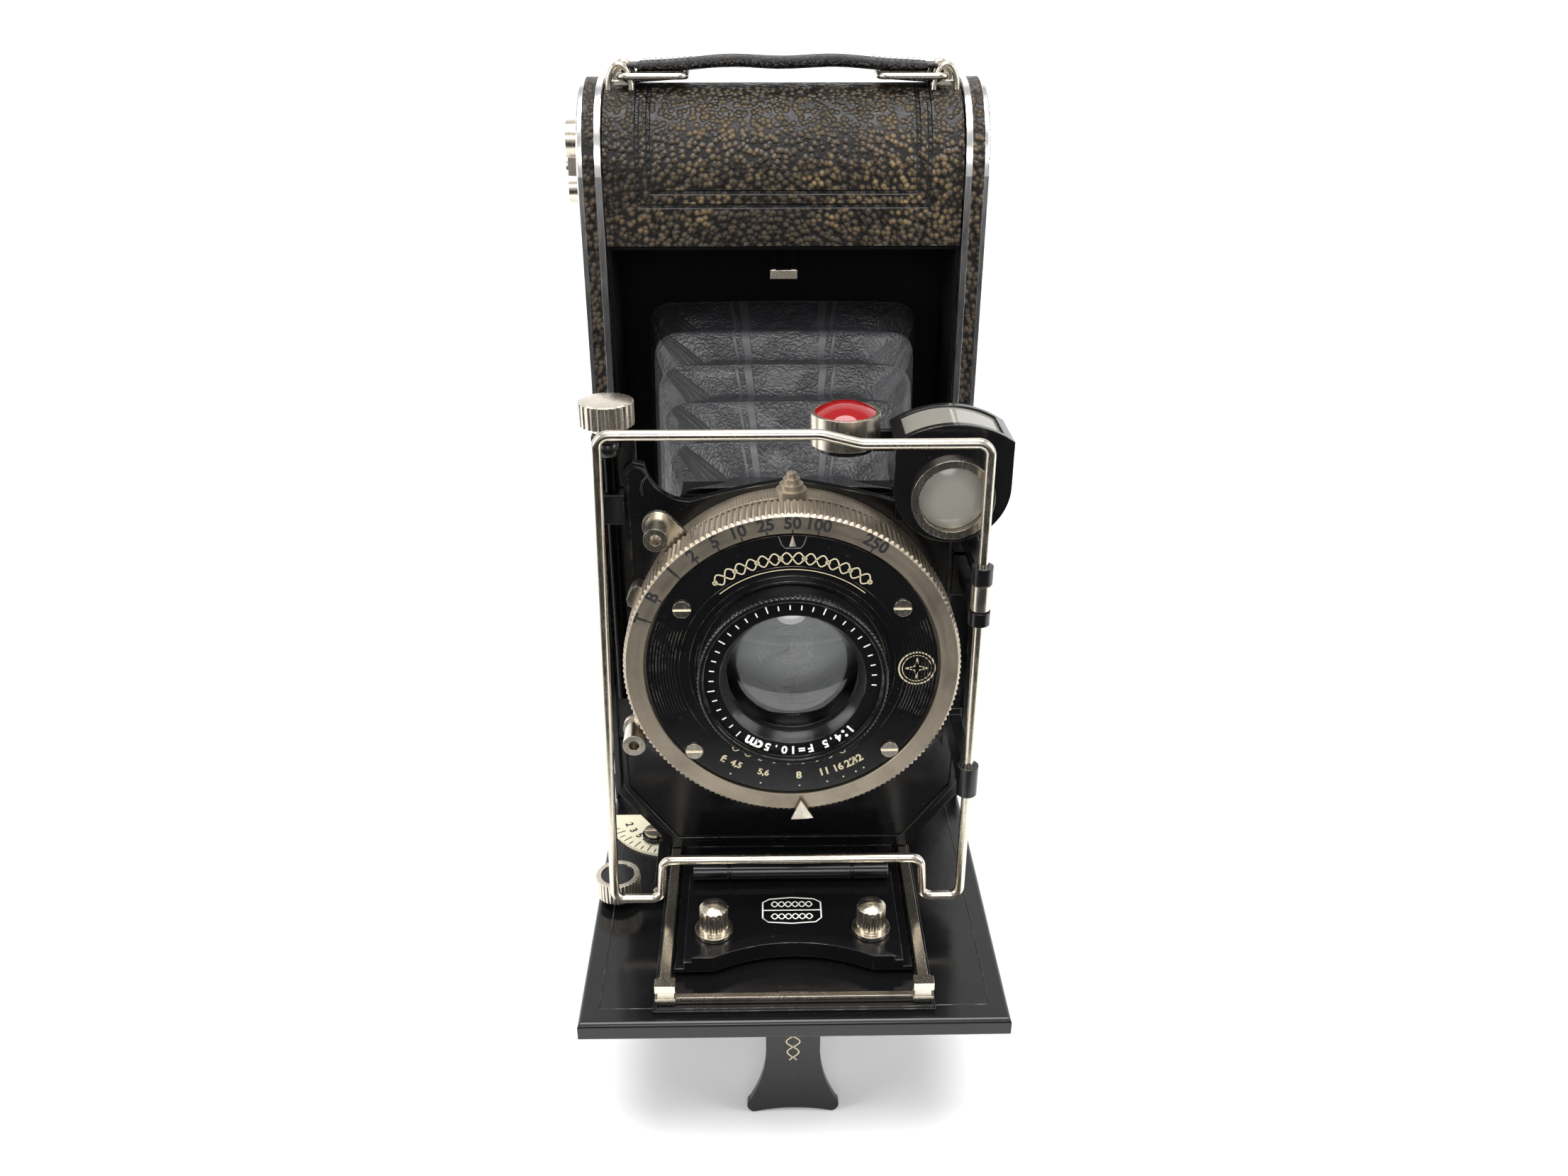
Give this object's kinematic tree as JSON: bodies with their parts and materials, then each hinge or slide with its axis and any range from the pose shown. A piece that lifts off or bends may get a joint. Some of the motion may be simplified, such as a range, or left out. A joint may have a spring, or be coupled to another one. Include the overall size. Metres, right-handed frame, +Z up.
{
  "type": "folding camera",
  "caption": "Vertical roll-film folding camera with drop bed, leather bellows, rising lens board, rim-set leaf shutter, wire frame finder, reflex finder and spirit level.",
  "frame": {"origin": "centre of the base of the object's box, on the surface that it stands on", "axes": "+X to the right seen from the front, -Y the way the lens looks, +Z up"},
  "size_m": [0.088, 0.1376, 0.1689],
  "materials": {
    "black_enamel": "gloss",
    "black_matte": "matte",
    "leather": "pebbled",
    "strap_leather": "pebbled",
    "bellows_leather": "matte",
    "bright_rim": "polished",
    "nickel": "satin nickel",
    "shutter_nickel": "satin nickel",
    "steel": "satin",
    "spool_wood": "turned",
    "scale_ivory": "satin",
    "optical_glass": "polished",
    "red_glass": "polished",
    "mirror": "polished"
  },
  "bodies": {
    "root": {"body_shell": "black_enamel", "body_leather": "leather", "left_cap": "bright_rim", "left_cap_leather": "leather", "chamber": "black_matte", "body_rails": "nickel", "pressure_plate": "steel", "window_glass": "red_glass", "pivot_rivets": "nickel", "strap_fittings": "nickel", "strap": "strap_leather", "tripod_sockets": "nickel", "bed_plate": "black_enamel", "bed_hinge_fittings": "steel", "bed_struts": "black_enamel", "rail_base": "black_enamel", "distance_scale": "scale_ivory", "bellows": "bellows_leather"},
    "door_catch": {"door_catch": "nickel"},
    "window_cover": {"window_cover": "nickel"},
    "winding_key": {"winding_key": "nickel"},
    "film_carrier": {"right_cap": "bright_rim", "right_cap_leather": "leather", "carrier_frame": "black_matte", "carrier_spindles": "steel", "peep_bracket": "nickel"},
    "takeup_spool": {"takeup_spool": "spool_wood"},
    "supply_spool": {"supply_spool": "spool_wood"},
    "cap_catch": {"cap_catch": "nickel"},
    "peep_sight": {"peep_sight": "nickel"},
    "stand_leg": {"stand_leg": "black_enamel"},
    "focus_lever": {"focus_lever": "black_enamel", "focus_knob": "nickel"},
    "focus_rail": {"focus_rail": "nickel"},
    "standard": {"carriage": "black_enamel", "u_standard": "black_enamel", "bellows_collar": "black_matte", "frame_knuckles": "black_enamel"},
    "left_grip": {"left_grip": "nickel"},
    "right_grip": {"right_grip": "nickel"},
    "lens_board": {"lens_panel": "black_enamel", "finder_bracket": "black_enamel", "shutter_case": "shutter_nickel", "face_plate": "black_enamel", "face_screws": "nickel", "iris_blades": "steel", "lens_cells": "black_enamel", "lens_glasses": "optical_glass", "level_cup": "nickel", "level_glass": "red_glass"},
    "rise_knob": {"rise_knob": "nickel"},
    "speed_ring": {"speed_ring": "shutter_nickel"},
    "aperture_pointer": {"aperture_pointer": "nickel"},
    "cocking_lever": {"cocking_lever": "nickel"},
    "release_lever": {"release_lever": "nickel"},
    "finder": {"finder_housing": "black_enamel", "finder_ring": "nickel", "finder_glasses": "optical_glass", "finder_mirror": "mirror"},
    "wire_frame": {"wire_frame": "nickel"}
  },
  "joints": [
    {"name": "door_catch_press", "type": "slide", "parent": "root", "child": "door_catch", "axis": [0, 0, 1], "range_m": [0, 0.0008], "stiffness_N_per_m": 60},
    {"name": "window_cover_swing", "type": "hinge", "parent": "root", "child": "window_cover", "pos_m": [0, 0.06775, 0.068], "axis": [0, 1, 0], "range_deg": [0, 100]},
    {"name": "winding_key_turn", "type": "hinge", "parent": "root", "child": "winding_key", "pos_m": [0, 0.05075, 0.148], "axis": [1, 0, 0], "continuous": true},
    {"name": "film_carrier_slide", "type": "slide", "parent": "root", "child": "film_carrier", "axis": [1, 0, 0], "range_m": [0, 0.08]},
    {"name": "takeup_spool_turn", "type": "hinge", "parent": "film_carrier", "child": "takeup_spool", "pos_m": [0, 0.05075, 0.148], "axis": [1, 0, 0], "continuous": true},
    {"name": "supply_spool_turn", "type": "hinge", "parent": "film_carrier", "child": "supply_spool", "pos_m": [0, 0.05075, 0.017], "axis": [1, 0, 0], "continuous": true},
    {"name": "cap_catch_turn", "type": "hinge", "parent": "film_carrier", "child": "cap_catch", "pos_m": [0, 0.05075, 0.017], "axis": [1, 0, 0], "range_deg": [0, 90]},
    {"name": "peep_sight_fold", "type": "hinge", "parent": "film_carrier", "child": "peep_sight", "pos_m": [0.0412, 0.06175, 0.0825], "axis": [0, 0, 1], "range_deg": [0, 90]},
    {"name": "stand_leg_fold", "type": "hinge", "parent": "root", "child": "stand_leg", "pos_m": [0, -0.05725, 0.0266], "axis": [1, 0, 0], "range_deg": [0, 90]},
    {"name": "focus_lever_turn", "type": "hinge", "parent": "root", "child": "focus_lever", "pos_m": [-0.0259, -0.02025, 0.033], "axis": [0, 0, 1], "range_deg": [-60, 0]},
    {"name": "focus_rail_slide", "type": "slide", "parent": "root", "child": "focus_rail", "axis": [0, -1, 0], "range_m": [0, 0.0045]},
    {"name": "standard_slide", "type": "slide", "parent": "focus_rail", "child": "standard", "axis": [0, 1, 0], "range_m": [0, 0.078], "deforming": ["bellows"]},
    {"name": "left_grip_squeeze", "type": "slide", "parent": "standard", "child": "left_grip", "axis": [1, 0, 0], "range_m": [0, 0.002], "stiffness_N_per_m": 200},
    {"name": "right_grip_squeeze", "type": "slide", "parent": "standard", "child": "right_grip", "axis": [-1, 0, 0], "range_m": [0, 0.002]},
    {"name": "lens_rise", "type": "slide", "parent": "standard", "child": "lens_board", "axis": [0, 0, 1], "range_m": [0, 0.006]},
    {"name": "rise_knob_turn", "type": "hinge", "parent": "standard", "child": "rise_knob", "pos_m": [-0.029, -0.03045, 0.12], "axis": [0, 0, 1], "range_deg": [0, 360]},
    {"name": "speed_ring_turn", "type": "hinge", "parent": "lens_board", "child": "speed_ring", "pos_m": [0, -0.04325, 0.0825], "axis": [0, 1, 0], "range_deg": [-30, 68]},
    {"name": "aperture_turn", "type": "hinge", "parent": "lens_board", "child": "aperture_pointer", "pos_m": [0, -0.03625, 0.0825], "axis": [0, 1, 0], "range_deg": [-28.9, 30.9]},
    {"name": "cocking_lever_turn", "type": "hinge", "parent": "lens_board", "child": "cocking_lever", "pos_m": [0, -0.03625, 0.0825], "axis": [0, 1, 0], "range_deg": [0, 25], "stiffness_Nm_per_rad": 0.05, "springref_deg": -11.46},
    {"name": "release_lever_turn", "type": "hinge", "parent": "lens_board", "child": "release_lever", "pos_m": [0, -0.03625, 0.0825], "axis": [0, 1, 0], "range_deg": [-8, 0], "stiffness_Nm_per_rad": 0.05, "springref_deg": 11.46},
    {"name": "finder_swivel", "type": "hinge", "parent": "lens_board", "child": "finder", "pos_m": [0.0244, -0.03625, 0.1135], "axis": [0, 1, 0], "range_deg": [0, 90]},
    {"name": "wire_frame_swing", "type": "hinge", "parent": "standard", "child": "wire_frame", "pos_m": [0.0291, -0.04625, 0.0825], "axis": [0, 0, 1], "range_deg": [0, 180]}
  ],
  "couplings": [
    {"joint": "winding_key_turn", "follows": "takeup_spool_turn", "ratio": 1},
    {"joint": "focus_rail_slide", "follows": "focus_lever_turn", "m_per_rad": -0.004297},
    {"joint": "right_grip_squeeze", "follows": "left_grip_squeeze", "ratio": 1},
    {"joint": "rise_knob_turn", "follows": "lens_rise", "rad_per_m": 1047.2}
  ]
}
